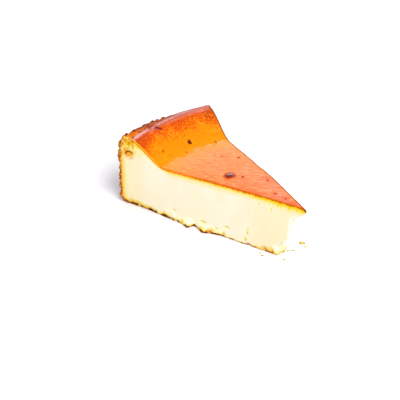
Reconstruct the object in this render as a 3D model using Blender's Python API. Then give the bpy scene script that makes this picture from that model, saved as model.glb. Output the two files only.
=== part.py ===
"""A slice of baked cheesecake: a wedge with a raised browned rim, two knife cuts and a broken tip.

Metres, +Z up. The origin is at the middle of the slice's box, at its base. The tip points
along +X and the near cut faces -Y. The skin, the rind and the cream are one piece of food.
"""

import math
from dataclasses import dataclass, fields

import bmesh
import bpy
from mathutils import Vector, noise

# The whole cake, and the wedge cut from it.
CAKE_RADIUS = 0.120
SLICE_ANGLE = math.radians(32.0)
AXIS_X = CAKE_RADIUS / 2

# The outside wall's rounded foot, an ellipse, and its softened top edge.
FOOT_WIDTH = 0.0075
FOOT_HEIGHT = 0.0055
EDGE_WIDTH = 0.0008
EDGE_DEPTH = 0.0020

# How the top bends: a crown over the middle, then a shoulder outside the ridge.
MIDDLE_HEIGHT = 0.0374
CROWN_POWER = 1.5
SWELL_RADIUS = 0.0330
STEEP_START = 0.2
RIM_FALL = 0.8
SHOULDER_POWER = 1.5

# The broken tip: how far back from the tip each height of the cream is gone.
TEAR_FOOT = 0.0150
TEAR_HOLLOW = 0.0175
TEAR_HOLLOW_HEIGHT = 0.0050
TEAR_WAIST = 0.0092
TEAR_WAIST_HEIGHT = 0.0150
TEAR_LUMP = 0.0010
TEAR_LUMP_SIZE = 0.0046
TEAR_HALF_WIDTH = 0.0200
PAST_THE_TIP = 0.0030
LEDGE_HEIGHT = 0.0292
LEDGE_RISE = 0.0093
LEDGE_POWER = 1.9

# How far the browned base is squashed out through the near cut, from the cake's axis outwards.
FLARE = {0.052: 0.0, 0.056: 0.0010, 0.059: 0.0019, 0.061: 0.0028, 0.063: 0.0033, 0.0645: 0.0024,
         0.066: 0.0013, 0.0675: 0.0004, 0.0695: 0.0001, 0.0708: 0.0012, 0.0725: 0.0036, 0.0745: 0.0026,
         0.078: 0.0013, 0.085: 0.0010, 0.093: 0.0, 0.1035: -0.0009, 0.120: -0.0006}
FLARE_HEIGHT = 0.0060

# The skin's fold, where a crease crosses the ridge.
FOLD_ANGLE = math.radians(9.5)
FOLD_SPREAD = math.radians(2.2)
FOLD_REACH = 0.0090
FOLD_DEPTH = 0.0010

# Unevenness that the oven leaves.
SKIN_WAVE = 0.0004
SKIN_WAVE_SIZE = 0.0140
WALL_WAVE = 0.0006
WALL_WAVE_SIZE = 0.0060

# How finely the solids are divided.
SLICE_CUTS = 29
TEAR_CUTS = 15
RIM_CROWDING = 0.5
WELD = 0.00001


@dataclass
class Section:
    """The top's line where a vertical plane through the cake's axis cuts it."""

    swell: float
    valley_radius: float
    valley_height: float
    ridge_radius: float
    ridge_height: float
    edge_height: float


NEAR_CUT = Section(0.0000, 0.0905, 0.0334, 0.1125, 0.0464, 0.0438)
FAR_CUT = Section(0.0012, 0.0840, 0.0345, 0.1075, 0.0454, 0.0362)


def mix(start, end, share):
    return start + (end - start) * share


def ease(share):
    """Runs from 0 to 1 with no slope at either end."""
    share = min(max(share, 0.0), 1.0)
    return share * share * (3.0 - 2.0 * share)


def bump(place, middle, half_width):
    """Is 1 at the middle and falls smoothly to 0 at half_width from it."""
    return ease(1.0 - abs(place - middle) / half_width)


def table_at(table, place):
    """A value between those that a table gives for places along a line."""
    places = list(table)
    for start, end in zip(places, places[1:]):
        if place < end:
            return mix(table[start], table[end], max(0.0, (place - start) / (end - start)))
    return table[places[-1]]


def wave(point, size, height):
    return height * noise.noise(Vector(point) / size)


def section_at(share):
    """The section at a share of the way from the near cut to the far cut. The rim falls faster at first."""
    sizes = [mix(getattr(NEAR_CUT, f.name), getattr(FAR_CUT, f.name), share) for f in fields(Section)]
    section = Section(*sizes)
    section.ridge_height = mix(NEAR_CUT.ridge_height, FAR_CUT.ridge_height, share**RIM_FALL)
    section.edge_height = mix(NEAR_CUT.edge_height, FAR_CUT.edge_height, share**RIM_FALL)
    return section


def rise(section, radius):
    """The slope from the valley up to the ridge, which starts with a bend."""
    share = (radius - section.valley_radius) / (section.ridge_radius - section.valley_radius)
    climb = mix(ease(share), share * (2.0 - share), STEEP_START)
    return mix(section.valley_height, section.ridge_height, climb)


def top_height(section, radius):
    """The skin's height at a distance from the cake's axis."""
    if radius <= section.valley_radius:
        share = (radius / section.valley_radius) ** CROWN_POWER
        swell = section.swell * bump(radius, SWELL_RADIUS, SWELL_RADIUS)
        return mix(MIDDLE_HEIGHT, section.valley_height, share) + swell
    if radius <= section.ridge_radius:
        return rise(section, radius)
    share = (radius - section.ridge_radius) / (CAKE_RADIUS - section.ridge_radius)
    return mix(section.ridge_height, section.edge_height, share**SHOULDER_POWER)


def wall_radius(height, edge_height):
    """The outside wall's distance from the cake's axis, from its rounded foot to its top edge."""
    foot = max(0.0, 1.0 - height / FOOT_HEIGHT)
    edge = min(max(0.0, 1.0 - (edge_height - height) / EDGE_DEPTH), 1.0)
    return CAKE_RADIUS - FOOT_WIDTH * (1.0 - math.sqrt(1.0 - foot * foot)) - EDGE_WIDTH * edge * edge


def flare(radius, height):
    """How far the base is pushed out through the near cut."""
    return table_at(FLARE, radius) * ease(1.0 - height / FLARE_HEIGHT)


def slice_point(across, out, up):
    """A point of the slice, from shares of the way across the wedge, out from the axis and up."""
    angle = (across - 0.5) * SLICE_ANGLE
    section = section_at(across)
    reach = out**RIM_CROWDING
    top = top_height(section, reach * CAKE_RADIUS)
    fold = bump(across * SLICE_ANGLE, FOLD_ANGLE, FOLD_SPREAD)
    top -= FOLD_DEPTH * fold * bump(reach * CAKE_RADIUS, section.ridge_radius, FOLD_REACH)
    height = up * top
    radius = reach * wall_radius(height, section.edge_height)
    x = AXIS_X - radius * math.cos(angle)
    y = radius * math.sin(angle)
    height += up * wave((x, y, 0.0), SKIN_WAVE_SIZE, SKIN_WAVE)
    sink = abs(wave((x, y, height), WALL_WAVE_SIZE, WALL_WAVE)) * reach * math.sin(math.pi * up)
    y -= flare(radius, height) * (1.0 - across) ** 2
    return Vector((x + sink * math.cos(angle), y - sink * math.sin(angle), height))


def tear_depth(height):
    """How far back from the tip the cream is gone at a height."""
    if height < TEAR_HOLLOW_HEIGHT:
        return mix(TEAR_FOOT, TEAR_HOLLOW, ease(height / TEAR_HOLLOW_HEIGHT))
    share = (height - TEAR_HOLLOW_HEIGHT) / (TEAR_WAIST_HEIGHT - TEAR_HOLLOW_HEIGHT)
    return mix(TEAR_HOLLOW, TEAR_WAIST, ease(share))


def tear_point(ahead, across, up):
    """A point of the cutter that breaks the tip's cream away and leaves the skin as a ledge."""
    y = mix(-TEAR_HALF_WIDTH, TEAR_HALF_WIDTH, across)
    ledge = LEDGE_HEIGHT + LEDGE_RISE * ahead**LEDGE_POWER
    height = mix(-TEAR_HOLLOW_HEIGHT, ledge, up)
    x = mix(AXIS_X - tear_depth(height), AXIS_X + PAST_THE_TIP, ahead)
    lump = wave((x, y, height), TEAR_LUMP_SIZE, TEAR_LUMP)
    return Vector((x + lump, y, height + lump * up))


def shaped_block(name, cuts, place):
    """A cube from 0 to 1 each way, divided evenly, with every point moved to where place puts it."""
    mesh = bpy.data.meshes.new(name)
    shape = bmesh.new()
    bmesh.ops.create_cube(shape, size=1.0)
    bmesh.ops.subdivide_edges(shape, edges=shape.edges[:], cuts=cuts, use_grid_fill=True)
    for vertex in shape.verts:
        vertex.co = place(*(vertex.co + Vector((0.5, 0.5, 0.5))))
    bmesh.ops.remove_doubles(shape, verts=shape.verts[:], dist=WELD)
    bmesh.ops.recalc_face_normals(shape, faces=shape.faces[:])
    shape.to_mesh(mesh)
    shape.free()
    mesh.shade_smooth()
    mesh.set_sharp_from_angle(angle=math.radians(40.0))
    return bpy.data.objects.new(name, mesh)


def new_collection(name):
    collection = bpy.data.collections.new(name)
    bpy.context.scene.collection.children.link(collection)
    return collection


def cream_material():
    material = bpy.data.materials.new("baked_cream")
    material.use_nodes = True
    shader = material.node_tree.nodes["Principled BSDF"]
    shader.inputs["Base Color"].default_value = (0.93, 0.68, 0.33, 1.0)
    shader.inputs["Roughness"].default_value = 0.55
    shader.inputs["Metallic"].default_value = 0.0
    return material


def break_tip(cake, cutters):
    """Takes the cream from under the tip's skin."""
    tear = shaped_block("tear_cutter", TEAR_CUTS, tear_point)
    tear.hide_render = True
    tear.display_type = "WIRE"
    cutters.objects.link(tear)
    modifier = cake.modifiers.new("broken tip", "BOOLEAN")
    modifier.operation = "DIFFERENCE"
    modifier.solver = "EXACT"
    modifier.object = tear


def clear_scene():
    for obj in list(bpy.data.objects):
        bpy.data.objects.remove(obj, do_unlink=True)


def main():
    clear_scene()
    parts = new_collection("basque_cheesecake")
    cutters = new_collection("cutters")
    cake = shaped_block("cheesecake_slice", SLICE_CUTS, slice_point)
    cake.data.materials.append(cream_material())
    parts.objects.link(cake)
    break_tip(cake, cutters)


main()
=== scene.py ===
"""The looks of a slice of baked cheesecake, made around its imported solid.

Metres, +Z up. The slice's tip points along +X, its near cut faces -Y and its base lies on z = 0.
The cake is a field of distances past its faces, which is turned into a closed mesh and roughened.
The depths below its baked faces are kept on the mesh, and the material browns the cake by them.
"""

import functools
import itertools
import math
from dataclasses import dataclass, fields

import bmesh
import bpy
import numpy as np
from mathutils import Matrix, Vector


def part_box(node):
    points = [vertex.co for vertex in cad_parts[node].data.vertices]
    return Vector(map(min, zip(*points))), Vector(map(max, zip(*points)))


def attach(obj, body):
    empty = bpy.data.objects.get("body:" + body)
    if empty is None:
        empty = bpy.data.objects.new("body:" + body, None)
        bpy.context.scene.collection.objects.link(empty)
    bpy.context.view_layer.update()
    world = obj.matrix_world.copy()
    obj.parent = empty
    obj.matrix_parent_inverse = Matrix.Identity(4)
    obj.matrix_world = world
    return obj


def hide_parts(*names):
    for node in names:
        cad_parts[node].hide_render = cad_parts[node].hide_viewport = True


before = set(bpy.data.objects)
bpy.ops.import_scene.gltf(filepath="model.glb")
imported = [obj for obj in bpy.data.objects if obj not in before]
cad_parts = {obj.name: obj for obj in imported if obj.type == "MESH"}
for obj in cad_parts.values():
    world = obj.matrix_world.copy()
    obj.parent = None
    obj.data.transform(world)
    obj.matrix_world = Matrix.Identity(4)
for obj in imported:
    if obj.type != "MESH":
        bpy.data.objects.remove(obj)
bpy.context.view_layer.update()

MM = 0.001

# The whole cake, and the wedge cut from it.
CAKE_RADIUS = 0.120
HALF_ANGLE = math.radians(16.0)
AXIS_X = CAKE_RADIUS / 2
COS = math.cos(HALF_ANGLE)
SIN = math.sin(HALF_ANGLE)

# The outside wall's rounded foot, an ellipse, and its softened top edge.
FOOT_WIDTH = 0.0075
FOOT_HEIGHT = 0.0055
EDGE_WIDTH = 0.0008
EDGE_DEPTH = 0.0020

# How the top bends: a crown over the middle, then a shoulder outside the ridge.
MIDDLE_HEIGHT = 0.0374
CROWN_POWER = 1.5
SWELL_RADIUS = 0.0330
STEEP_START = 0.2
RIM_FALL = 0.8
SHOULDER_POWER = 1.5

# The rind's beads. They line the shoulder's outer edge too, and stand lower there towards the far cut.
BEAD_SIZE = (0.0023, 0.0023, 0.0021)
BEAD_HEIGHT = 0.0013
BEAD_CORE = 1.5
BEAD_FALL = 1.9
SMALLEST_BEAD = 0.25
BEAD_DEPTH = 0.0020
RIND_SWELL = 0.0002
BEADED_FROM = 0.1158
BEADED_FADE = 0.0024
BEADLESS_FROM = 0.50
BEADLESS_FADE = 0.20
BEADLESS_SHARE = 0.8

# The broken tip: how far back from the tip each height of the cream is gone.
TEAR_FOOT = 0.0150
TEAR_HOLLOW = 0.0175
TEAR_HOLLOW_HEIGHT = 0.0050
TEAR_WAIST = 0.0092
TEAR_WAIST_HEIGHT = 0.0150
TEAR_LUMP = 0.0010
TEAR_LUMP_SIZE = 0.0046
TEAR_CRUMB = 0.0007
TEAR_CRUMB_SIZE = 0.0018
PAST_THE_TIP = 0.0030
LEDGE_HEIGHT = 0.0292
LEDGE_RISE = 0.0093
LEDGE_POWER = 1.9
LEDGE_LUMP = 0.5
LEDGE_FILLET = 0.0040

# How far the browned base is squashed out through the near cut, from the cake's axis outwards.
FLARE = {0.052: 0.0, 0.056: 0.0010, 0.059: 0.0019, 0.061: 0.0028, 0.063: 0.0033, 0.0645: 0.0024,
         0.066: 0.0013, 0.0675: 0.0004, 0.0695: 0.0001, 0.0708: 0.0012, 0.0725: 0.0036, 0.0745: 0.0026,
         0.078: 0.0013, 0.085: 0.0010, 0.093: 0.0, 0.1035: -0.0009, 0.120: -0.0006}
FLARE_HEIGHT = 0.0060

# The skin's fold, where a crease crosses the ridge.
FOLD_ANGLE = math.radians(9.5)
FOLD_SPREAD = math.radians(2.2)
FOLD_REACH = 0.0090
FOLD_DEPTH = 0.0010
CREASE_START = (AXIS_X - 0.1078, -0.0099)
CREASE_END = (AXIS_X - 0.1058, -0.0082)
CREASE_WIDTH = 0.0008
CREASE_DEPTH = 0.0006
# How much wider than the groove the painted shade in the crease spreads.
CREASE_SHADE_SPREAD = 1.6

# The skin is drawn into a low lip inside the ridge, with a painted highlight line just outside its crest, and
# past that it is dull. It is wrinkled on the flat.
LIP_INSIDE_NEAR = 0.0028
LIP_INSIDE_FAR = -0.0004
LIP_HALF_WIDTH = 0.0018
LIP_HEIGHT = 0.0003
# Where the painted highlight line lies outside the lip's crest, and its half width.
LIP_HIGHLIGHT_OUTSIDE = 0.0011
LIP_HIGHLIGHT_HALF_WIDTH = 0.0012
DULL_FROM = 0.93
DULL_RISE = 0.25
DULL_BEND = 0.31
DULL_FADE = 0.06
WRINKLE_TURN = math.radians(35.0)
WRINKLE_HEIGHT = 0.00014
WRINKLE_SIZE = (0.0090, 0.0016, 0.0200)
FINE_WRINKLE_SIZE = (0.0042, 0.0009, 0.0200)
FINE_WRINKLE_SHARE = 0.6
WRINKLE_BEND = 0.0030
WRINKLE_BEND_SIZE = 0.0130
SLOPE_WRINKLES = 0.3
FLAT_FADE = 0.0080

# The blister on the flat top: its middle, which way it lies, its half sizes and its height.
BLISTER_X = AXIS_X - 0.0529
BLISTER_Y = -0.0047
BLISTER_TURN = math.radians(42.0)
BLISTER_LENGTH = 0.0042
BLISTER_WIDTH = 0.0043
BLISTER_HEIGHT = 0.0008
BLISTER_STEEPNESS = 1.6
BLISTER_BACK_STEEPNESS = 2.0
BLISTER_RAGGED = 0.2
BLISTER_RAGGED_SIZE = 0.0030

# The arched crack under the rim's corner, on the near cut.
ARCH_ALONG = 0.1130
ARCH_HEIGHT = 0.0356
ARCH_RADIUS = 0.0024
ARCH_WIDTH = 0.0011
ARCH_DEPTH = 0.0007
ARCH_FILL_REACH = 1.7
ARCH_START = math.radians(-5.0)
ARCH_END = math.radians(135.0)

# Unevenness that the oven and the knife leave, each with the size of its waves.
SKIN_WAVE = 0.0004
SKIN_WAVE_SIZE = 0.0140
SKIN_GRAIN = 0.00006
SKIN_GRAIN_SIZE = 0.0022
BASE_LUMP = 0.0004
BASE_LUMP_SIZE = 0.0025
KNIFE_STREAK = 0.00007
KNIFE_STREAK_SIZE = (0.0012, 0.0012, 0.0180)
CUT_WAVE = 0.00018
CUT_WAVE_SIZE = 0.0085

# How far below a face its own relief and marks still show.
SKIN_THICKNESS = 0.0008
RIND_THICKNESS = 0.0010
CUT_THICKNESS = 0.0008
BREAK_THICKNESS = 0.0012
MARK_THICKNESS = 0.0015

# How softly two faces of the cake meet.
CUT_ROUND = 0.0006
APEX_ROUND = 0.0002
RIM_ROUND = 0.0012
SKIN_ROUND = 0.0005
TEAR_ROUND = 0.0010

# How deep the oven's browning reaches, as a share of its usual depth, from the cake's axis outwards.
SKIN_BROWNING = {0.000: 1.0, 0.018: 1.0, 0.026: 0.8, 0.031: 0.9, 0.038: 1.0, 0.085: 1.0,
                 0.091: 0.35, 0.098: 0.4, 0.104: 0.6, 0.108: 0.9, 0.112: 1.8, 0.120: 3.0}
BASE_BROWNING = {0.000: 1.6, 0.022: 1.5, 0.027: 1.0, 0.034: 0.7, 0.042: 0.6, 0.048: 0.9, 0.058: 1.1,
                 0.064: 1.3, 0.076: 1.3, 0.086: 1.6, 0.100: 1.8, 0.108: 2.4, 0.120: 2.8}
CORNER_HEIGHT = 0.0330
CORNER_FADE = 0.0050
CORNER_BROWNING = 2.2

# The cream under the crust is more golden near the tip and near the outside.
GOLDEN_TIP = 0.0240
GOLDEN_TIP_FADE = 0.0180
GOLDEN_OUTSIDE = 0.1000
GOLDEN_OUTSIDE_FADE = 0.0080

# The mesh, and the random fields.
PITCH = 0.0005
MARGIN = 0.0019
PROBE = 0.00005
PULLS = 2
LEAST_STEEPNESS = 0.25
LATTICE = 32


@dataclass
class Section:
    """The top's line where a vertical plane through the cake's axis cuts it."""

    swell: float
    valley_radius: float
    valley_height: float
    ridge_radius: float
    ridge_height: float
    edge_height: float


NEAR_CUT = Section(0.0000, 0.0905, 0.0334, 0.1125, 0.0464, 0.0438)
FAR_CUT = Section(0.0012, 0.0840, 0.0345, 0.1075, 0.0454, 0.0362)


@dataclass
class Mark:
    """A pit on a cut: its middle along the cut and up it, its half sizes and its depth, in millimetres."""

    along: float
    height: float
    half_length: float
    half_height: float
    depth: float


NEAR_MARKS = [
    Mark(83.3, 7.1, 1.1, 1.0, 0.3),
    Mark(69.7, 0.9, 1.4, 1.2, 0.5),
    Mark(63.8, 5.5, 3.0, 1.2, 0.5),
    Mark(58.6, 2.1, 2.8, 1.8, 0.6),
    Mark(54.9, 4.0, 1.5, 1.2, 0.3),
    Mark(50.3, 2.8, 1.2, 1.0, 0.3),
    Mark(48.6, 7.5, 2.0, 1.3, 0.4),
    Mark(36.5, 3.7, 1.3, 2.0, 0.4),
    Mark(35.6, 8.4, 1.1, 1.7, 0.4),
    Mark(34.8, 11.3, 0.9, 1.2, 0.3),
    Mark(34.0, 0.8, 1.8, 1.2, 0.5),
    Mark(24.2, 2.0, 2.2, 1.8, 0.5),
    Mark(19.9, 3.0, 1.8, 1.6, 0.4),
    Mark(53.5, 31.8, 1.0, 0.8, 0.3),
    Mark(21.4, 30.0, 0.9, 1.5, 0.3),
    Mark(28.6, 31.6, 0.9, 0.8, 0.2),
    Mark(117.2, 35.8, 1.0, 0.8, 0.3),
    Mark(109.7, 40.2, 0.6, 1.6, 0.3),
    Mark(110.4, 37.4, 0.6, 1.4, 0.3),
    Mark(117.5, 41.2, 0.9, 0.6, 0.3),
]

# A pit ends at this many half sizes from its middle.
MARK_REACH = 1.3

# The far cut's pits: how many, and the least and most of each measure.
FAR_MARK_COUNT = 18
FAR_MARK_SEED = 7
FAR_MARK_ALONG = (22.0, 112.0)
FAR_MARK_HEIGHT = (1.0, 10.0)
FAR_MARK_HALF_LENGTH = (0.9, 2.6)
FAR_MARK_HALF_HEIGHT = (0.8, 1.6)
FAR_MARK_DEPTH = (0.4, 0.8)


def mix(start, end, share):
    return start + (end - start) * share


def ease(share):
    """Runs from 0 to 1 with no slope at either end."""
    share = np.clip(share, 0.0, 1.0)
    return share * share * (3.0 - 2.0 * share)


def bump(place, middle, half_width):
    """Is 1 at the middle and falls smoothly to 0 at half_width from it."""
    return ease(1.0 - np.abs(place - middle) / half_width)


def smooth_max(first, second, width):
    """The larger of two distances, with the corner between them rounded."""
    share = np.clip(0.5 + 0.5 * (first - second) / width, 0.0, 1.0)
    return mix(second, first, share) + width * share * (1.0 - share)


def table_at(table, place):
    """A value between those that a table gives for places along a line."""
    return np.interp(place, list(table.keys()), list(table.values()))


class Waves:
    """Smooth random waves through space, from about -0.7 to 0.7."""

    def __init__(self, seed):
        slopes = np.random.default_rng(seed).normal(size=(LATTICE, LATTICE, LATTICE, 3))
        self.slopes = slopes / np.linalg.norm(slopes, axis=-1, keepdims=True)

    def at(self, points, size):
        place = points / np.asarray(size)
        corner = np.floor(place).astype(int)
        inside = place - corner
        eased = ease(inside)
        value = np.zeros(points.shape[:-1])
        for offset in itertools.product((0, 1), repeat=3):
            slope = self.slopes[tuple(np.moveaxis((corner + offset) % LATTICE, -1, 0))]
            weight = np.prod(np.where(offset, eased, 1.0 - eased), axis=-1)
            value += weight * np.sum(slope * (inside - offset), axis=-1)
        return value


class Grains:
    """Seeds scattered evenly through space, one to each cell."""

    def __init__(self, seed):
        draws = np.random.default_rng(seed)
        self.seats = draws.random((LATTICE, LATTICE, LATTICE, 3))
        self.sizes = draws.random((LATTICE, LATTICE, LATTICE))

    def near(self, points, size):
        """The nearest seed's distance as a share of the cell, and that seed's own random size."""
        place = points / np.asarray(size)
        cell = np.floor(place).astype(int)
        nearest = np.full(points.shape[:-1], np.inf)
        grain = np.zeros(points.shape[:-1])
        for offset in itertools.product((-1, 0, 1), repeat=3):
            index = tuple(np.moveaxis((cell + offset) % LATTICE, -1, 0))
            gap = np.linalg.norm(cell + offset + self.seats[index] - place, axis=-1)
            closer = gap < nearest
            nearest = np.where(closer, gap, nearest)
            grain = np.where(closer, self.sizes[index], grain)
        return nearest, grain


WAVES = Waves(1)
TEAR_WAVES = Waves(5)
BEADS = Grains(2)


# The slice as a field of distances.


def section_at(share):
    """The section at a share of the way from the near cut to the far cut. The rim falls faster at first."""
    sizes = [mix(getattr(NEAR_CUT, f.name), getattr(FAR_CUT, f.name), share) for f in fields(Section)]
    section = Section(*sizes)
    section.ridge_height = mix(NEAR_CUT.ridge_height, FAR_CUT.ridge_height, share**RIM_FALL)
    section.edge_height = mix(NEAR_CUT.edge_height, FAR_CUT.edge_height, share**RIM_FALL)
    return section


def rise(section, radius):
    """The slope from the valley up to the ridge, which starts with a bend."""
    share = (radius - section.valley_radius) / (section.ridge_radius - section.valley_radius)
    climb = mix(ease(share), share * (2.0 - share), STEEP_START)
    return mix(section.valley_height, section.ridge_height, climb)


def crown(section, radius):
    """The gentle dome inside the valley."""
    share = (radius / section.valley_radius) ** CROWN_POWER
    swell = section.swell * bump(radius, SWELL_RADIUS, SWELL_RADIUS)
    return mix(MIDDLE_HEIGHT, section.valley_height, share) + swell


def shoulder(section, radius):
    """The fall from the ridge to the outside wall."""
    share = np.clip((radius - section.ridge_radius) / (CAKE_RADIUS - section.ridge_radius), 0.0, None)
    return mix(section.ridge_height, section.edge_height, share**SHOULDER_POWER)


def top_height(section, radius):
    """The skin's height at a distance from the cake's axis."""
    inner = np.where(radius <= section.valley_radius, crown(section, radius), rise(section, radius))
    return np.where(radius <= section.ridge_radius, inner, shoulder(section, radius))


def wall_radius(height, edge_height):
    """The outside wall's distance from the cake's axis, from its rounded foot to its top edge."""
    foot = np.clip(1.0 - height / FOOT_HEIGHT, 0.0, 1.0)
    edge = np.clip(1.0 - (edge_height - height) / EDGE_DEPTH, 0.0, 1.0)
    return CAKE_RADIUS - FOOT_WIDTH * (1.0 - np.sqrt(1.0 - foot * foot)) - EDGE_WIDTH * edge * edge


def flare(radius, height):
    """How far the base is pushed out through the near cut."""
    return table_at(FLARE, radius) * ease(1.0 - height / FLARE_HEIGHT)


def tear_depth(height):
    """How far back from the tip the cream is gone at a height."""
    foot = mix(TEAR_FOOT, TEAR_HOLLOW, ease(height / TEAR_HOLLOW_HEIGHT))
    share = (height - TEAR_HOLLOW_HEIGHT) / (TEAR_WAIST_HEIGHT - TEAR_HOLLOW_HEIGHT)
    return np.where(height < TEAR_HOLLOW_HEIGHT, foot, mix(TEAR_HOLLOW, TEAR_WAIST, ease(share)))


def past_tear(points):
    """How deep points lie in the space that the broken tip left."""
    x, height = points[..., 0], points[..., 2]
    lump = TEAR_LUMP * TEAR_WAVES.at(points, TEAR_LUMP_SIZE)
    lump += TEAR_CRUMB * TEAR_WAVES.at(points, TEAR_CRUMB_SIZE)
    ahead = np.clip((x - AXIS_X + TEAR_WAIST) / (TEAR_WAIST + PAST_THE_TIP), 0.0, 1.0)
    ledge = LEDGE_HEIGHT + LEDGE_RISE * ahead**LEDGE_POWER
    past_face = x - AXIS_X + tear_depth(height) + lump
    return -smooth_max(-past_face, height - ledge - LEDGE_LUMP * lump, LEDGE_FILLET)


@dataclass
class Place:
    """Where points lie in the slice. A distance past a face is positive outside the cake."""

    radius: np.ndarray
    angle: np.ndarray
    along_near: np.ndarray
    along_far: np.ndarray
    height: np.ndarray
    near: np.ndarray
    far: np.ndarray
    top: np.ndarray
    wall: np.ndarray
    tear: np.ndarray
    section: Section

    @property
    def across(self):
        """The share of the way from the near cut to the far cut."""
        return 0.5 * self.angle / HALF_ANGLE


def place_of(points):
    back = AXIS_X - points[..., 0]
    side = points[..., 1]
    height = points[..., 2]
    radius = np.hypot(back, side)
    angle = np.arctan2(side, back) + HALF_ANGLE
    section = section_at(np.clip(0.5 * angle / HALF_ANGLE, 0.0, 1.0))
    fold = bump(angle, FOLD_ANGLE, FOLD_SPREAD) * bump(radius, section.ridge_radius, FOLD_REACH)
    return Place(
        radius=radius,
        angle=angle,
        along_near=back * COS - side * SIN,
        along_far=back * COS + side * SIN,
        height=height,
        near=-back * SIN - (side + flare(radius, height)) * COS,
        far=-back * SIN + side * COS,
        top=height - top_height(section, radius) + FOLD_DEPTH * fold,
        wall=radius - wall_radius(height, section.edge_height),
        tear=past_tear(points),
        section=section,
    )


def past_slice(points):
    """The distance past the slice's surface, negative inside."""
    place = place_of(points)
    body = smooth_max(place.near, place.far, APEX_ROUND)
    body = smooth_max(body, place.wall, RIM_ROUND)
    body = smooth_max(body, place.top, SKIN_ROUND)
    body = smooth_max(body, -place.height, CUT_ROUND)
    return smooth_max(body, place.tear, TEAR_ROUND)


# From a field of distances to a mesh.


def grid_over(low, high):
    axes = [np.arange(a - MARGIN, b + MARGIN, PITCH) for a, b in zip(low, high)]
    return np.stack(np.meshgrid(*axes, indexing="ij"), axis=-1)


def surface_net(grid, values):
    """Four-sided faces round the grid's edges whose ends differ in sign, and a point for each cell passed."""
    cells = np.array(values.shape) - 1
    strides = np.array((cells[1] * cells[2], cells[2], 1))
    sums = np.zeros((cells.prod(), 3))
    count = np.zeros(cells.prod())
    rings = []
    for axis in range(3):
        lines = np.moveaxis(values, axis, 0)
        crossing = (lines[:-1] < 0) != (lines[1:] < 0)
        first, second = lines[:-1][crossing], lines[1:][crossing]
        corner = np.empty((len(first), 3), dtype=int)
        corner[:, [axis] + [other for other in range(3) if other != axis]] = np.argwhere(crossing)
        point = corner.astype(float)
        point[:, axis] += first / (first - second)
        one, two = strides[(axis + 1) % 3], strides[(axis + 2) % 3]
        cell = corner @ strides
        ring = np.stack((cell, cell - one, cell - one - two, cell - two), axis=1)
        ring = np.where((first < 0)[:, None], ring, ring[:, ::-1])
        rings.append(ring)
        count += np.bincount(ring.ravel(), minlength=len(count))
        for k in range(3):
            sums[:, k] += np.bincount(ring.ravel(), np.repeat(point[:, k], 4), minlength=len(count))
    used = np.flatnonzero(count)
    number = np.zeros(len(count), dtype=int)
    number[used] = np.arange(len(used))
    points = grid[0, 0, 0] + PITCH * sums[used] / count[used, None]
    return points, number[np.concatenate(rings)]


def slope_of(field, points):
    """The field's direction of growth at each point."""
    slope = np.empty_like(points)
    for axis, step in enumerate(PROBE * np.eye(3)):
        slope[:, axis] = (field(points + step) - field(points - step)) / (2.0 * PROBE)
    return slope


def pull_to_surface(field, points):
    """Moves points onto the field's surface, and gives the directions that it faces there."""
    for _ in range(PULLS):
        slope = slope_of(field, points)
        move = field(points) / np.maximum(np.sum(slope**2, axis=-1), LEAST_STEEPNESS)
        points = points - np.clip(move, -PITCH, PITCH)[:, None] * slope
    slope = slope_of(field, points)
    return points, slope / np.linalg.norm(slope, axis=-1, keepdims=True)


def add_object(name, data):
    thing = bpy.data.objects.new(name, data)
    bpy.context.scene.collection.objects.link(thing)
    return thing


def mesh_from(shape, name):
    mesh = bpy.data.meshes.new(name)
    shape.to_mesh(mesh)
    shape.free()
    return mesh


def make_piece(name, points, faces):
    mesh = bpy.data.meshes.new(name)
    mesh.from_pydata(points.tolist(), [], faces.tolist())
    mesh.update()
    mesh.shade_smooth()
    return add_object(name, mesh)


def keep_on_mesh(piece, name, values):
    attribute = piece.data.attributes.new(name, "FLOAT", "POINT")
    attribute.data.foreach_set("value", np.ascontiguousarray(values, dtype=np.float32))


# The finer relief of the slice.


def turned(points, angle):
    """Points seen from axes turned about Z by an angle."""
    cos, sin = math.cos(angle), math.sin(angle)
    along = points[:, 0] * cos + points[:, 1] * sin
    over = points[:, 1] * cos - points[:, 0] * sin
    return np.stack((along, over, points[:, 2]), axis=-1)


def wrinkles_at(points):
    """Fine wrinkles in the skin, which all lie much the same way and bend a little."""
    lying = turned(points, WRINKLE_TURN)
    lying[:, 1] += WRINKLE_BEND * WAVES.at(points, WRINKLE_BEND_SIZE)
    return WAVES.at(lying, WRINKLE_SIZE) + FINE_WRINKLE_SHARE * WAVES.at(lying, FINE_WRINKLE_SIZE)


def far_marks():
    """Pits scattered along the foot of the far cut, like those that show on the near one."""
    draws = np.random.default_rng(FAR_MARK_SEED)
    for _ in range(FAR_MARK_COUNT):
        yield Mark(
            along=draws.uniform(*FAR_MARK_ALONG),
            height=mix(*FAR_MARK_HEIGHT, draws.random() ** 2),
            half_length=draws.uniform(*FAR_MARK_HALF_LENGTH),
            half_height=draws.uniform(*FAR_MARK_HALF_HEIGHT),
            depth=draws.uniform(*FAR_MARK_DEPTH),
        )


def marks_on(marks, along, height, past):
    """How deep the pits are, and how strongly they show, on the cut whose face lies at past = 0."""
    depth = np.zeros_like(along)
    share = np.zeros_like(along)
    on_cut = ease(1.0 + past / MARK_THICKNESS)
    for mark in marks:
        over = (along - mark.along * MM) / (mark.half_length * MM)
        up = (height - mark.height * MM) / (mark.half_height * MM)
        pit = on_cut * ease(MARK_REACH - np.hypot(over, up))
        depth += mark.depth * MM * pit
        share = np.maximum(share, pit)
    return depth, share


def arch_share(place):
    """The arched crack, as a share of its full depth."""
    over = place.along_near - ARCH_ALONG
    up = place.height - ARCH_HEIGHT
    turn = np.clip(np.arctan2(up, over), ARCH_START, ARCH_END)
    gap = np.hypot(over - ARCH_RADIUS * np.cos(turn), up - ARCH_RADIUS * np.sin(turn))
    return ease(1.0 - gap / ARCH_WIDTH) * ease(1.0 + place.near / MARK_THICKNESS)


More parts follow.
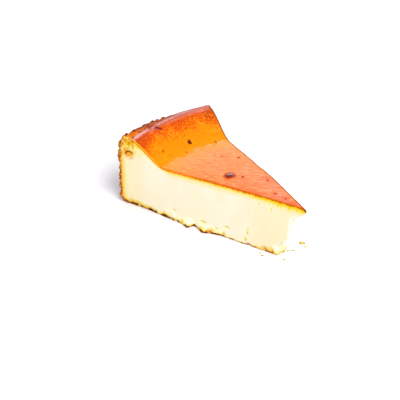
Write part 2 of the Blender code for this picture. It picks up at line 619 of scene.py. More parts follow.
def arch_fill(place):
    """The browner cream inside the arch."""
    gap = np.hypot(place.along_near - ARCH_ALONG, place.height - ARCH_HEIGHT)
    return ease(ARCH_FILL_REACH - gap / ARCH_RADIUS) * ease(1.0 + place.near / MARK_THICKNESS)


def line_share(points, start, end, width):
    """Is 1 on a line across the top, seen from above, and falls to 0 at width from it."""
    start, end = np.array(start), np.array(end)
    way = end - start
    along = np.clip((points[:, :2] - start) @ way / (way @ way), 0.0, 1.0)
    gap = np.linalg.norm(points[:, :2] - start - along[:, None] * way, axis=-1)
    return ease(1.0 - gap / width)


def blister_share(points):
    """The blister's share of its height, and the same for its far half alone."""
    lying = turned(points - np.array((BLISTER_X, BLISTER_Y, 0.0)), BLISTER_TURN)
    over = lying[:, 1] / BLISTER_WIDTH
    ragged = BLISTER_RAGGED * WAVES.at(points, BLISTER_RAGGED_SIZE)
    share = ease(BLISTER_STEEPNESS * (1.0 - ragged - np.hypot(lying[:, 0] / BLISTER_LENGTH, over)))
    return share, share * ease(0.5 + BLISTER_BACK_STEEPNESS * over)


def lip_radius(place):
    """How far from the cake's axis the lip's crest lies, which is nearer the ridge towards the far cut."""
    return place.section.ridge_radius - mix(LIP_INSIDE_NEAR, LIP_INSIDE_FAR, np.clip(place.across, 0.0, 1.0))


def top_relief(points, place):
    """The skin's wrinkles, waves, crease, lip and blister."""
    flat = ease((place.section.valley_radius - place.radius) / FLAT_FADE)
    push = mix(SLOPE_WRINKLES, 1.0, flat) * WRINKLE_HEIGHT * wrinkles_at(points)
    push += SKIN_WAVE * WAVES.at(points, SKIN_WAVE_SIZE) + SKIN_GRAIN * WAVES.at(points, SKIN_GRAIN_SIZE)
    push -= CREASE_DEPTH * line_share(points, CREASE_START, CREASE_END, CREASE_WIDTH)
    push += LIP_HEIGHT * bump(place.radius, lip_radius(place), LIP_HALF_WIDTH)
    return push + BLISTER_HEIGHT * blister_share(points)[0]


def bead_at(points):
    """How high the rind's beads stand, as a share of their full height."""
    gap, grain = BEADS.near(points, BEAD_SIZE)
    return ease(BEAD_CORE - BEAD_FALL * gap) * mix(SMALLEST_BEAD, 1.0, grain)


def cut_relief(points):
    """The knife's upright streaks and slow waves on a cut."""
    streaks = KNIFE_STREAK * WAVES.at(points, KNIFE_STREAK_SIZE)
    return streaks + CUT_WAVE * WAVES.at(points, CUT_WAVE_SIZE)


def relief_of(points, place):
    """How far each point of the smooth slice is pushed out, and the shares that the material shows."""
    on_top = ease(1.0 + place.top / SKIN_THICKNESS)
    on_wall = ease(1.0 + place.wall / RIND_THICKNESS)
    on_base = ease(1.0 - place.height / RIND_THICKNESS)
    on_cut = ease(1.0 + np.maximum(place.near, place.far) / CUT_THICKNESS) * (1.0 - on_top)
    outer = ease((place.radius - BEADED_FROM) / BEADED_FADE)
    beaded = 1.0 - BEADLESS_SHARE * ease((place.across - BEADLESS_FROM) / BEADLESS_FADE)
    rind = np.maximum(on_wall * (1.0 - on_top), on_top * outer * beaded)
    bead = bead_at(points)
    near_depth, near_share = marks_on(NEAR_MARKS, place.along_near, place.height, place.near)
    far_depth, far_share = marks_on(far_marks(), place.along_far, place.height, place.far)
    arch = arch_share(place)
    push = rind * (BEAD_HEIGHT * bead + RIND_SWELL)
    push += BASE_LUMP * on_base * WAVES.at(points, BASE_LUMP_SIZE)
    push += on_cut * cut_relief(points)
    push += on_top * (1.0 - outer) * top_relief(points, place)
    push -= near_depth + far_depth + ARCH_DEPTH * arch
    blister, blister_back = blister_share(points)
    shares = {
        "bead": np.maximum(ease(1.0 + place.wall / BEAD_DEPTH), rind) * bead,
        "mark": np.maximum(near_share, far_share),
        "arch": arch,
        "arch_fill": arch_fill(place),
        # A thin line just outside the lip's crest, where a highlight is painted.
        "lip": bump(place.radius, lip_radius(place) + LIP_HIGHLIGHT_OUTSIDE, LIP_HIGHLIGHT_HALF_WIDTH),
        "blister": on_top * blister,
        # The blister's far half, which gets a painted reflection and more gloss.
        "blister_back": on_top * blister_back,
        # The crease, darkened with painted shade a little wider than its groove.
        "crease": on_top * line_share(points, CREASE_START, CREASE_END, CREASE_SHADE_SPREAD * CREASE_WIDTH),
    }
    return push, shares


def dull_share(place, rim_share):
    """Is 1 where the skin past the ridge's lip has no gloss, which starts further out towards the far cut."""
    way = np.clip((place.across - DULL_BEND) / (1.0 - DULL_BEND), 0.0, 1.0)
    return ease((rim_share - DULL_FROM - DULL_RISE * way) / DULL_FADE)


def browning_of(place):
    """Depths below the faces in millimetres, shorter where the browning reaches deeper, and other shares."""
    width = place.section.ridge_radius - place.section.valley_radius
    rim_share = (place.radius - place.section.valley_radius) / width
    corner = ease((place.height - CORNER_HEIGHT) / CORNER_FADE)
    golden_tip = ease(1.0 - (place.radius - GOLDEN_TIP) / GOLDEN_TIP_FADE)
    golden_outside = ease((place.radius - GOLDEN_OUTSIDE) / GOLDEN_OUTSIDE_FADE)
    return {
        "skin_depth": -place.top / MM,
        "rind_depth": -place.wall / MM,
        "near_depth": -place.near / MM,
        "far_depth": -place.far / MM,
        "broken": ease(1.0 + place.tear / BREAK_THICKNESS),
        "height": place.height / MM,
        "golden": np.maximum(golden_tip, golden_outside),
        "rim_share": rim_share,
        "dull": dull_share(place, rim_share),
        "corner": corner,
        "under_skin": -place.top / MM / table_at(SKIN_BROWNING, place.radius),
        "under_rind": -place.wall / MM / mix(1.0, CORNER_BROWNING, corner),
        "over_base": place.height / MM / table_at(BASE_BROWNING, place.radius),
    }


def make_slice():
    grid = grid_over(*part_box("cheesecake_slice"))
    points, faces = surface_net(grid, past_slice(grid))
    points, normals = pull_to_surface(past_slice, points)
    place = place_of(points)
    push, shares = relief_of(points, place)
    points += push[:, None] * normals
    points[:, 2] = np.maximum(points[:, 2], 0.0)
    piece = make_piece("cake", points, faces)
    for name, values in {**browning_of(place), **shares}.items():
        keep_on_mesh(piece, name, values)
    return piece


# Materials. Sizes, places and depths in this part are in millimetres.

EVEN = (1.0, 1.0, 1.0)
WHITE = (255, 255, 255)
DOT_CORE = 0.3
RAMP_REACH = 1.3


def colour(red, green, blue):
    """A screen colour, 0 to 255, as the shader's linear one."""
    levels = np.array((red, green, blue)) / 255.0
    linear = np.where(levels > 0.04045, ((levels + 0.055) / 1.055) ** 2.4, levels / 12.92)
    return [*linear.tolist(), 1.0]


class Shading:
    """Adds nodes to a material's tree. Each call returns the new node's output."""

    def __init__(self, name):
        self.material = bpy.data.materials.new(name)
        self.material.use_nodes = True
        self.tree = self.material.node_tree
        self.shader = self.tree.nodes["Principled BSDF"]
        self.made = {}
        place = self.tree.nodes.new("ShaderNodeTexCoord").outputs["Object"]
        self.place = self.vector_math("MULTIPLY", place, (1.0 / MM,) * 3)

    def node(self, kind, inputs, **settings):
        node = self.tree.nodes.new(kind)
        for name, value in settings.items():
            setattr(node, name, value)
        for key, value in inputs.items():
            self.feed(node.inputs[key], value)
        return node

    def feed(self, socket, value):
        if isinstance(value, bpy.types.NodeSocket):
            self.tree.links.new(value, socket)
        else:
            socket.default_value = value

    def vector_math(self, operation, first, second, output="Vector"):
        return self.node("ShaderNodeVectorMath", {0: first, 1: second}, operation=operation).outputs[output]

    def math(self, operation, first, second):
        return self.node("ShaderNodeMath", {0: first, 1: second}, operation=operation).outputs[0]

    def mixed(self, share, first, second, blend="MIX", label=""):
        inputs = {0: share, 6: first, 7: second}
        return self.node("ShaderNodeMix", inputs, data_type="RGBA", blend_type=blend, label=label).outputs[2]

    def scaled_place(self, size, stretch=EVEN, turn=0.0):
        """The place over size, with its first axis turned about Z first and each axis stretched."""
        place = self.place
        if turn:
            inputs = {"Vector": self.place, "Angle": -turn}
            place = self.node("ShaderNodeVectorRotate", inputs, rotation_type="Z_AXIS").outputs["Vector"]
        return self.vector_math("MULTIPLY", place, [1.0 / (size * times) for times in stretch])

    def make(self, source):
        """The output for a source: a value's name on the mesh, a screen colour, a recipe or a ready input."""
        if isinstance(source, str):
            return self.node("ShaderNodeAttribute", {}, attribute_name=source).outputs["Fac"]
        if isinstance(source, tuple):
            return colour(*source)
        if not hasattr(source, "make"):
            return source
        if source not in self.made:
            self.made[source] = source.make(self)
        return self.made[source]

    def lay(self, base, features):
        """The base colour with each feature laid over it in turn."""
        for feature in features:
            share = self.make(product(*feature.shares))
            base = self.mixed(share, base, self.make(feature.tint), feature.blend, feature.name)
        return base

    def finish(self, inputs):
        """Sets the shader's own sockets."""
        for name, value in inputs.items():
            self.feed(self.shader.inputs[name], value)

    def bump(self, height, distance):
        return self.node("ShaderNodeBump", {"Height": height, "Distance": distance}).outputs["Normal"]


# Recipes: what a look is made from. Each one makes its nodes in a Shading, and can be a source of another.


@dataclass(eq=False)
class Noise:
    """Clouds from 0 to 1, with lumps of about size millimetres and finer ones over them."""

    size: float
    detail: float
    stretch: tuple = EVEN
    turn: float = 0.0

    def make(self, s):
        place = s.scaled_place(self.size, self.stretch, self.turn)
        inputs = {"Vector": place, "Scale": 1.0, "Detail": self.detail}
        return s.node("ShaderNodeTexNoise", inputs).outputs["Fac"]


@dataclass(eq=False)
class Fade:
    """Runs smoothly from low to high while its source runs from start to end."""

    source: object
    start: float
    end: float
    low: float = 0.0
    high: float = 1.0

    def make(self, s):
        inputs = {0: s.make(self.source), 1: self.start, 2: self.end, 3: self.low, 4: self.high}
        return s.node("ShaderNodeMapRange", inputs, interpolation_type="SMOOTHSTEP").outputs[0]


@dataclass(eq=False)
class Joined:
    """Several sources, joined one after another by the same operation."""

    operation: str
    parts: tuple

    def make(self, s):
        outputs = [s.make(part) for part in self.parts]
        return functools.reduce(functools.partial(s.math, self.operation), outputs)


def total(*parts):
    return Joined("ADD", parts)


def product(*parts):
    return Joined("MULTIPLY", parts)


def largest(*parts):
    return Joined("MAXIMUM", parts)


def wobble(size, detail, reach, start=0.3, end=0.7):
    """Clouds that run from -reach to reach."""
    return Fade(Noise(size, detail), start, end, -reach, reach)


@dataclass(eq=False)
class Dots:
    """Is 1 in the middle of dots that lie about size millimetres apart, and 0 outside their radius."""

    size: float
    radius: float

    def make(self, s):
        inputs = {"Vector": s.scaled_place(self.size), "Scale": 1.0}
        gap = s.node("ShaderNodeTexVoronoi", inputs).outputs["Distance"]
        edge = self.radius / self.size
        return s.make(Fade(gap, edge, DOT_CORE * edge))


@dataclass(eq=False)
class Spot:
    """A ragged round spot on the top: its middle from the slice's tip, its radius and its strength."""

    x: float
    y: float
    radius: float
    strength: float
    softness: float = 0.4

    def make(self, s):
        seen_from_above = s.vector_math("MULTIPLY", s.place, (1.0, 1.0, 0.0))
        middle = (AXIS_X / MM + self.x, self.y, 0.0)
        gap = total(s.vector_math("DISTANCE", seen_from_above, middle, "Value"), SPOT_EDGE)
        inside = Fade(gap, self.radius + self.softness, self.radius - self.softness)
        return s.make(product(inside, self.strength))


@dataclass(eq=False)
class Blend:
    """A colour that turns from first into second as a share grows."""

    share: object
    first: object
    second: object

    def make(self, s):
        return s.mixed(s.make(self.share), s.make(self.first), s.make(self.second))


@dataclass(eq=False)
class Ramp:
    """A colour for each level of a source, from a table of colours between two levels."""

    source: object
    colours: dict
    start: float
    end: float

    def make(self, s):
        span = self.end - self.start
        node = s.node("ShaderNodeValToRGB", {0: s.make(product(total(self.source, -self.start), 1.0 / span))})
        elements = node.color_ramp.elements
        while len(elements) < len(self.colours):
            elements.new(0.5)
        for element, (level, tint) in zip(elements, self.colours.items()):
            element.position = (level - self.start) / span
            element.color = colour(*tint)
        return node.outputs["Color"]


def depth_ramp(depth, colours):
    """A ramp from a table of depths, which fades to white just past its last depth."""
    reach = RAMP_REACH * max(colours)
    return Ramp(depth, {**colours, reach: WHITE}, 0.0, reach)


def depth_blend(share, depth, first, second):
    return Blend(share, depth_ramp(depth, first), depth_ramp(depth, second))


@dataclass(eq=False)
class Feature:
    """A colour that is laid over another, as strongly as the product of its shares."""

    name: str
    tint: object
    shares: list
    blend: str = "MIX"


# Where on the cake a look shows, from values that are kept on the mesh.
ON_TOP = Fade("skin_depth", 0.45, 0.15)
ON_WALL = Fade("rind_depth", 0.6, 0.2)
ON_BASE = Fade("height", 0.35, 0.1)
ON_FLAT = Fade("rim_share", 0.0, -0.4)
ON_SLOPE = Fade("rim_share", 0.0, 0.1)
UP_THE_SLOPE = Fade("rim_share", 0.05, 0.25)
NEAR_EDGE = Fade(total("near_depth", wobble(1.5, 2.0, 0.4)), 1.7, 0.7)
BESIDE_CHIP = Fade(total("near_depth", wobble(2.0, 3.0, 1.5, 0.2, 0.8)), 4.5, 2.5)
IN_CORNER = product("corner", Fade("rind_depth", 13.0, 8.0))
UNBROKEN = Fade("broken", 0.0, 1.0, 1.0, 0.15)

# Patterns that several looks share.
WRINKLES = Noise(1.1, 3.0, (4.0, 1.0, 4.0), WRINKLE_TURN)
MOTTLE = Noise(0.75, 2.0)
CORNER_CLOUDS = Noise(1.5, 2.0)
SPOT_EDGE = wobble(0.9, 2.0, 0.35)
DARK_SPOTS = largest(
    Spot(-92.8, 2.3, 1.35, 1.0),
    Spot(-95.2, -16.5, 0.60, 0.8),
    Spot(-89.0, -3.9, 0.70, 0.6),
    Spot(-62.4, 12.3, 0.85, 0.85),
    Spot(-46.7, -0.8, 0.80, 0.75),
    Spot(-71.7, 2.3, 0.60, 0.5),
    Spot(-70.9, 7.3, 0.70, 0.6),
    Spot(-84.7, 15.9, 0.80, 0.7),
    Spot(-22.3, -0.8, 0.80, 0.8),
    Spot(-15.0, -0.4, 0.80, 0.8),
    Spot(-33.6, 5.7, 0.80, 0.7),
    Spot(-0.8, 0.0, 1.20, 0.9),
)

# The skin's colour by the share of the way up the rim's slope: -4 at the tip, 0 at its foot, 1 at the ridge.
SKIN_COLOURS = {-4.11: (200, 30, 0), -3.72: (226, 52, 2), -2.81: (245, 100, 10), -1.77: (246, 110, 14),
                -0.60: (247, 122, 8), -0.08: (246, 134, 0), 0.15: (229, 134, 0), 0.31: (227, 132, 0),
                0.50: (229, 131, 0), 0.70: (212, 82, 0), 0.86: (190, 64, 2), 1.09: (176, 56, 6),
                1.41: (156, 48, 10)}
SKIN_SHARE = total("rim_share", wobble(9.0, 4.0, 0.10), wobble(1.0, 2.0, 0.14),
                   Fade("near_depth", 10.0, 0.0, 0.0, 0.21), Fade("far_depth", 14.0, 0.0, 0.0, 0.19))
SKIN = Ramp(SKIN_SHARE, SKIN_COLOURS, -4.5, 2.0)

# The dull shoulder past the ridge, its outer edge, and the place where its corner is chipped.
SHOULDER = Blend(Fade("near_depth", 6.0, 20.0), (236, 122, 16), (194, 92, 50))
PATCHY_SHOULDER = Blend(Fade(Noise(2.2, 2.0), 0.44, 0.58, 0.0, 0.85), SHOULDER, (134, 50, 20))
OUTER_EDGE = Blend(Fade("near_depth", 8.0, 16.0), (204, 112, 16), (140, 66, 26))
CHIPPED_CORNER = Blend(Fade(Noise(1.6, 3.0), 0.4, 0.6), (206, 110, 6), (253, 205, 84))

SKIN_FEATURES = [
    # Painted shade in the wrinkles' hollows and a pink painted highlight on their crests, following the
    # wrinkles' bump.
    Feature("painted shade in wrinkle hollows", (212, 64, 16), [ON_FLAT, Fade(WRINKLES, 0.48, 0.34, 0.0, 0.60)]),
    Feature("painted highlight on wrinkle crests", (255, 166, 112), [ON_FLAT, Fade(WRINKLES, 0.52, 0.66, 0.0, 0.40)]),
    Feature("dimples", (214, 80, 24), [ON_FLAT, Fade(Noise(2.4, 3.0), 0.46, 0.34, 0.0, 0.35)]),
    Feature("gold speckles", (255, 182, 50),
            [Dots(1.3, 0.55), Fade(Noise(7.0, 2.0), 0.46, 0.60), Fade("rim_share", 0.05, 0.2), 0.65]),
    Feature("dark mottle", (196, 70, 0), [ON_SLOPE, Fade(MOTTLE, 0.47, 0.30, 0.0, 0.42)]),
    Feature("gold mottle", (252, 168, 0), [ON_SLOPE, Fade(MOTTLE, 0.54, 0.70, 0.0, 0.35)]),
    Feature("brown flecks", (190, 54, 2), [Dots(1.7, 0.55), Fade(Noise(8.0, 2.0), 0.45, 0.60), 0.5]),
    # A rose painted reflection in a band along the ridge.
    Feature("painted rosy reflection on the ridge", (150, 80, 72),
            [Fade(total("rim_share", Fade("far_depth", 24.0, 0.0, 0.0, -0.08)), 0.84, 0.96, 0.0, 0.60)]),
    Feature("shoulder", PATCHY_SHOULDER, ["dull"]),
    Feature("outer edge", OUTER_EDGE, ["dull", Fade("rind_depth", 2.6, 0.9, 0.0, 0.8)]),
    Feature("shoulder beads", (78, 30, 8), ["dull", Fade("bead", 0.1, 0.4, 0.0, 0.9)]),
    Feature("blister foot", (200, 84, 62), [Fade("blister", 0.02, 0.25, 0.0, 0.45)]),
    Feature("blister", (108, 34, 12), [Fade("blister", 0.15, 0.95)]),
    # A pale mauve painted reflection on the blister's far half.
    Feature("painted reflection on the blister's back", (150, 84, 74), [Fade("blister_back", 0.35, 0.90)]),
    # Painted shade along the crease's groove.
    Feature("crease", (112, 40, 34), [Fade("crease", 0.1, 0.8)]),
    # A pale painted highlight line along the ridge, just outside the lip's crest.
    Feature("lip", (208, 160, 168),
            ["lip", Fade("near_depth", 28.0, 12.0, 0.5, 0.65), Fade(Noise(2.6, 2.0), 0.40, 0.54, 0.45, 1.15),
             Fade("near_depth", 0.6, 3.0, 0.4, 1.0)]),
    Feature("near edge", (200, 92, 0), [NEAR_EDGE, Fade("rim_share", -0.6, -1.4, 0.4, 0.9)]),
    Feature("slope's golden edge", (252, 186, 50), [UP_THE_SLOPE, Fade("near_depth", 1.2, 0.9)]),
    Feature("slope's brown edge", (190, 108, 10), [UP_THE_SLOPE, Fade("near_depth", 0.7, 0.4)]),
    Feature("far edge", (132, 72, 26), [Fade("far_depth", 1.3, 0.6, 0.0, 0.9)]),
    Feature("dark spots", (104, 22, 0), [DARK_SPOTS]),
    Feature("chipped corner", CHIPPED_CORNER, [Fade("rim_share", 1.0, 1.1), BESIDE_CHIP]),
]

# The skin's gloss: most on the ridge, less on the flat, and least on the slope, the spots and the edges.
FLAT_GLOSS = Fade(total("rim_share", wobble(4.0, 3.0, 0.10)), -0.10, 0.12, 0.58, 0.02)
RIDGE_GLOSS = product(Fade("rim_share", 0.78, 0.92, 0.0, 0.60), Fade("far_depth", 0.0, 20.0, 0.55, 1.0),
                      Fade("near_depth", 18.0, 4.0, 1.0, 1.35), Fade("near_depth", 0.8, 4.0, 0.4, 1.0))
PLAIN_GLOSS = product(total(FLAT_GLOSS, RIDGE_GLOSS), Fade("blister", 0.0, 0.10, 1.0, 0.2))
SKIN_GLOSS = product(
    ON_TOP,
    total(PLAIN_GLOSS, product("blister_back", 0.8)),
    Fade("near_depth", 0.0, 16.0, 0.80, 1.20),
    Fade("rim_share", -3.9, -3.0, 0.65, 1.0),
    *(Fade(dulled, 0.6, 0.0) for dulled in ("dull", "crease", DARK_SPOTS)),
    *(Fade(edge_depth, 0.6, 1.8, 0.1, 1.0) for edge_depth in ("near_depth", "far_depth")),
)

# Colours of the cream at each depth below a baked face, in millimetres of the usual browning.
BELOW_SKIN = {0.0: (190, 92, 4), 0.4: (226, 128, 6), 0.7: (244, 166, 18), 1.0: (252, 200, 44),
              1.4: (254, 220, 88), 1.9: (254, 232, 142), 2.7: (254, 237, 176), 4.2: (253, 240, 196)}
BELOW_GOLDEN_SKIN = {0.0: (170, 82, 4), 0.3: (220, 130, 6), 0.7: (250, 184, 0), 1.2: (254, 212, 20),
                     1.9: (254, 220, 60), 2.6: (254, 228, 112), 3.4: (253, 236, 160), 5.0: (253, 240, 192)}
BELOW_RIND = {0.0: (108, 40, 8), 0.4: (166, 80, 18), 0.8: (212, 124, 36), 1.2: (238, 164, 60),
              1.8: (252, 200, 88), 2.6: (254, 220, 116), 3.6: (253, 234, 156), 5.0: (252, 241, 190)}
BELOW_GOLDEN_RIND = {0.0: (118, 44, 4), 0.4: (190, 96, 6), 0.9: (232, 148, 12), 1.6: (248, 184, 40),
                     2.4: (253, 210, 80), 3.4: (254, 228, 124), 5.0: (254, 237, 160), 7.0: (252, 240, 186)}
ABOVE_BASE = {0.0: (58, 26, 4), 0.25: (90, 44, 10), 0.4: (156, 90, 26), 0.55: (214, 146, 54),
              0.75: (246, 190, 72), 0.95: (254, 212, 88), 1.2: (254, 222, 112), 1.6: (254, 232, 150),
              2.1: (252, 240, 184)}
ABOVE_GOLDEN_BASE = {0.0: (84, 40, 8), 0.1: (148, 84, 20), 0.2: (222, 152, 44), 0.4: (250, 204, 80),
                     0.9: (254, 216, 98), 1.6: (254, 228, 130), 2.4: (253, 238, 178)}

# The same depths, made uneven: upright ticks below the skin, pits in the corner and clumps over the base.
UPRIGHT_TICKS = Fade(Noise(0.8, 2.0, (1.0, 1.0, 5.0)), 0.3, 0.7, -0.9, 0.9)
TICKS = product(UPRIGHT_TICKS, Fade("corner", 1.0, 0.0, 0.3, 1.0))
SKIN_DEPTH = total("under_skin", wobble(1.6, 4.0, 0.40, 0.25, 0.75), product("golden", TICKS))
RIND_DEPTH = total("under_rind", wobble(1.2, 3.0, 0.6), product("corner", wobble(1.3, 2.0, 1.0)))
BASE_HEIGHT = total("over_base", Fade(Noise(3.5, 4.0), 0.35, 0.65, -0.70, 0.85))
SKIN_BROWNED = depth_blend("golden", SKIN_DEPTH, BELOW_SKIN, BELOW_GOLDEN_SKIN)
RIND_BROWNED = depth_blend("corner", RIND_DEPTH, BELOW_RIND, BELOW_GOLDEN_RIND)
BASE_BROWNED = depth_blend("golden", BASE_HEIGHT, ABOVE_BASE, ABOVE_GOLDEN_BASE)

CREAM = Blend(Fade(Noise(9.0, 3.0, (1.0, 1.0, 2.0)), 0.35, 0.65), (255, 244, 213), (255, 247, 221))
CUT_FEATURES = [
    Feature("knife streaks", (250, 232, 184), [Fade(Noise(1.3, 2.0, (1.0, 1.0, 8.0)), 0.55, 0.8, 0.0, 0.35)]),
    Feature("pores", (236, 218, 150), [Dots(4.5, 0.35), 0.5]),
    Feature("golden cream", (253, 238, 190), ["golden", 0.6]),
    # Paler cream on the broken tip: partly the fresh break's own tone, partly painted light where the key
    # lamp falls full on it.
    Feature("paler broken cream with painted light", (255, 252, 226), ["broken"]),
    Feature("browning below the skin", SKIN_BROWNED, [UNBROKEN], "DARKEN"),
    Feature("browning below the rind", RIND_BROWNED, [UNBROKEN], "DARKEN"),
    Feature("browning above the base", BASE_BROWNED, [UNBROKEN], "DARKEN"),
    Feature("grits beside the rind", (104, 48, 4),
            [Fade("rind_depth", 1.9, 0.9), Fade(Noise(1.0, 2.0), 0.53, 0.61, 0.0, 0.8)]),
    Feature("pits", Blend(Fade("height", 3.2, 1.6), (249, 224, 102), (232, 152, 60)),
            ["mark", Fade(Noise(1.1, 3.0), 0.30, 0.55)]),
    Feature("burnt clusters at the base", Blend("golden", (92, 36, 2), (186, 92, 8)),
            [Fade("over_base", 1.5, 0.9), Fade("height", 2.6, 1.6), Fade(Noise(1.2, 3.0), 0.43, 0.51),
             Fade("broken", 0.5, 0.1), Fade(Noise(6.0, 2.0), 0.40, 0.50)]),
    Feature("golden foot of the break", (248, 212, 84),
            ["broken", Fade("height", 3.2, 0.8), Fade(Noise(1.8, 2.0), 0.38, 0.52)]),
    Feature("corner's pale patches", (254, 230, 134), [IN_CORNER, Fade(CORNER_CLOUDS, 0.48, 0.40, 0.0, 0.7)]),
    Feature("corner's brown patches", (224, 138, 16), [IN_CORNER, Fade(CORNER_CLOUDS, 0.52, 0.59, 0.0, 0.8)]),
    Feature("inside of the arch", (246, 166, 24), ["arch_fill", Fade(Noise(1.6, 2.0), 0.35, 0.55, 0.2, 0.9)]),
    Feature("arch", (178, 94, 4),
            [Fade(product("arch", Fade(Noise(1.6, 2.0), 0.3, 0.5, 0.7, 1.0)), 0.1, 0.7, 0.0, 0.95)]),
    Feature("tip", (150, 76, 20), [Spot(-0.8, 0.0, 1.1, 1.0, 0.5), Fade("under_skin", 2.4, 1.2)]),
]

# The brown outside wall, more orange beside the near cut, and the underside.
RIND = Blend(Fade(Noise(4.0, 4.0), 0.3, 0.7), (112, 48, 12), (152, 76, 24))
RIND_FEATURES = [
    Feature("orange beside the cut", (232, 128, 34), [Fade("near_depth", 2.6, 0.6, 0.0, 0.85)]),
    Feature("beads", (82, 30, 8),
            [Fade("bead", 0.35, 0.85, 0.0, 0.85), Fade(Noise(3.0, 1.0), 0.36, 0.52, 0.45, 1.0)]),
]
# The browned underside, painted a lighter orange along the near cut's lower edge as painted light on an edge
# that faces down into shade.
UNDERSIDE_WITH_PAINTED_LIGHT = Blend(Fade("near_depth", 0.4, 1.6), (244, 152, 70), (188, 92, 30))

# How high the finest relief stands, in millimetres.
CREAM_RELIEF = product(Noise(0.6, 3.0), 0.05)
WRINKLE_RELIEF = product(WRINKLES, ON_TOP, 0.12)
CRUMB_RELIEF = 0.1

CAKE_FINISH = {"Roughness": 0.75, "Specular IOR Level": 0.05, "Coat Roughness": 0.22}


def cheesecake_material():
    s = Shading("baked_cheesecake")
    faces = [
        Feature("skin", s.lay(s.make(SKIN), SKIN_FEATURES), [ON_TOP]),
        Feature("rind", s.lay(s.make(RIND), RIND_FEATURES), [ON_WALL]),
        Feature("underside", UNDERSIDE_WITH_PAINTED_LIGHT, [ON_BASE]),
    ]
    cut = s.lay(s.make(CREAM), CUT_FEATURES)
    relief = s.bump(s.make(total(CREAM_RELIEF, WRINKLE_RELIEF)), MM)
    s.finish({"Base Color": s.lay(cut, faces), "Coat Weight": s.make(SKIN_GLOSS)})
    s.finish({"Normal": relief, "Coat Normal": relief, **CAKE_FINISH})
    return s.material


def floor_material():
    s = Shading("pale_floor")
    tone = s.make(Blend(Noise(80.0, 2.0), (238, 238, 241), (242, 242, 244)))
    s.finish({"Base Color": tone, "Roughness": 0.9, "Specular IOR Level": 0.0})
    return s.material


def crumb_material():
    s = Shading("browned_crumb")
    tone = s.make(Blend(Fade(Noise(1.2, 3.0), 0.35, 0.6), (142, 120, 8), (218, 194, 60)))
    relief = s.bump(s.make(Noise(0.4, 3.0)), CRUMB_RELIEF * MM)
    s.finish({"Base Color": tone, "Roughness": 0.6, "Normal": relief})
    return s.material


# The loose crumbs.


@dataclass
class Crumb:
    """A crumb's middle from the slice's tip and its sizes, in millimetres, and its turn in degrees."""

    x: float
    y: float
    length: float
    width: float
    height: float
    turn: float


CRUMBS = [
    Crumb(-14.7, 0.6, 2.8, 0.9, 0.6, 85.0),
    Crumb(-13.8, 3.0, 2.4, 0.8, 0.5, 55.0),
    Crumb(-12.1, 5.1, 3.0, 0.7, 0.4, 54.0),
    Crumb(-12.6, 13.9, 3.7, 2.0, 1.1, 36.0),
    Crumb(-9.2, 12.8, 1.8, 1.1, 0.5, 30.0),
    Crumb(-10.2, -4.4, 1.6, 1.0, 0.5, 45.0),
    Crumb(-20.9, -10.5, 1.6, 1.0, 0.6, 30.0),
    Crumb(-23.6, -9.6, 1.0, 0.8, 0.4, 60.0),
]
CRUMB_DIVISIONS = 3
CRUMB_LUMP = 0.5
CRUMB_LUMP_SIZE = 0.0009
CRUMB_LIFT = 0.4


def add_crumb(shape, crumb):
    """A lumpy ball, flattened where it lies on the floor."""
    made = bmesh.ops.create_icosphere(shape, subdivisions=CRUMB_DIVISIONS, radius=0.5)["verts"]
    sizes = np.array((crumb.length, crumb.width, crumb.height)) * MM
    points = np.array([vertex.co for vertex in made]) * sizes
    own_waves = np.array((crumb.x, crumb.y, crumb.turn)) * MM
    points *= 1.0 + CRUMB_LUMP * WAVES.at(points + own_waves, CRUMB_LUMP_SIZE)[:, None]
    spin = np.array(Matrix.Rotation(math.radians(crumb.turn), 3, "Z"))
    points = points @ spin.T + np.array((AXIS_X + crumb.x * MM, crumb.y * MM, CRUMB_LIFT * crumb.height * MM))
    points[:, 2] = np.maximum(points[:, 2], 0.0)
    for vertex, point in zip(made, points):
        vertex.co = point


def make_crumbs():
    shape = bmesh.new()
    for crumb in CRUMBS:
        add_crumb(shape, crumb)
    mesh = mesh_from(shape, "crumbs")
    mesh.shade_smooth()
    return add_object("crumbs", mesh)


# The studio.

CAMERA_PLACE = Vector((0.34589, -0.36320, 0.38004))
CAMERA_AZIMUTH = math.radians(45.33)
CAMERA_PITCH = math.radians(36.22)
CAMERA_ROLL = math.radians(0.215)
CAMERA_LENS = 96.22
CAMERA_SENSOR = 36.0

WORLD_COLOUR = (0.97, 0.96, 1.0, 1.0)
WORLD_STRENGTH = 0.14
FLOOR_RADIUS = 3.0
FLOOR_DEPTH = 0.0002
FLOOR_SIDES = 96
COOL_WHITE = (0.97, 0.93, 1.0)
WATTS_PER_AREA = 4.0


@dataclass
class Softbox:
    """A soft lamp that faces the cake from an azimuth and elevation in degrees: 0 is +X and 90 is +Y."""

    name: str
    azimuth: float
    elevation: float
    distance: float
    width: float
    height: float
    strength: float
    tint: tuple = EVEN


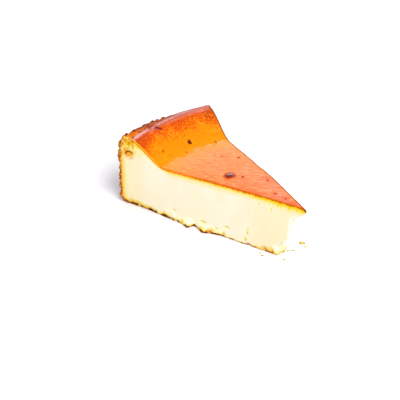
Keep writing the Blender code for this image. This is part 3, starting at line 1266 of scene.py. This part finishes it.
SOFTBOXES = [
    Softbox("back_window", 124.0, 41.0, 1.5, 1.60, 1.03, 1.9),
    Softbox("ridge_strip", 121.0, 47.0, 1.5, 0.42, 0.16, 12.0, COOL_WHITE),
    Softbox("far_strip", 130.5, 26.0, 1.5, 0.12, 0.50, 1.5, COOL_WHITE),
    Softbox("key", -10.0, 57.0, 1.5, 0.8, 0.8, 9.2),
    Softbox("fill", -75.0, 35.0, 1.6, 1.4, 0.9, 0.95),
]


def add_camera():
    data = bpy.data.cameras.new("camera")
    data.lens = CAMERA_LENS
    data.sensor_width = CAMERA_SENSOR
    camera = add_object("camera", data)
    turn = Matrix.Rotation(CAMERA_AZIMUTH, 4, "Z")
    tip = Matrix.Rotation(math.radians(90.0) - CAMERA_PITCH, 4, "X")
    roll = Matrix.Rotation(CAMERA_ROLL, 4, "Z")
    camera.matrix_world = Matrix.Translation(CAMERA_PLACE) @ turn @ tip @ roll
    bpy.context.scene.camera = camera


def add_softbox(box):
    data = bpy.data.lights.new(box.name, "AREA")
    data.shape = "RECTANGLE"
    data.size = box.width
    data.size_y = box.height
    data.energy = WATTS_PER_AREA * box.strength * box.width * box.height
    data.color = box.tint
    lamp = add_object(box.name, data)
    turn, lift = math.radians(box.azimuth), math.radians(box.elevation)
    way = Vector((math.cos(lift) * math.cos(turn), math.cos(lift) * math.sin(turn), math.sin(lift)))
    lamp.location = way * box.distance
    lamp.rotation_euler = way.to_track_quat("Z", "Y").to_euler()


def add_world():
    world = bpy.data.worlds.new("studio")
    world.use_nodes = True
    background = world.node_tree.nodes["Background"]
    background.inputs["Color"].default_value = WORLD_COLOUR
    background.inputs["Strength"].default_value = WORLD_STRENGTH
    bpy.context.scene.world = world


def add_floor():
    shape = bmesh.new()
    bmesh.ops.create_circle(shape, cap_ends=True, segments=FLOOR_SIDES, radius=FLOOR_RADIUS)
    floor = add_object("floor", mesh_from(shape, "floor"))
    floor.location.z = -FLOOR_DEPTH
    floor.data.materials.append(floor_material())


def add_studio():
    add_camera()
    add_world()
    for box in SOFTBOXES:
        add_softbox(box)
    add_floor()
    bpy.context.scene.view_settings.view_transform = "Standard"


def main():
    add_studio()
    cake = make_slice()
    cake.data.materials.append(cheesecake_material())
    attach(cake, "root")
    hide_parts("cheesecake_slice")
    crumbs = make_crumbs()
    crumbs.data.materials.append(crumb_material())
    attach(crumbs, "root")


main()
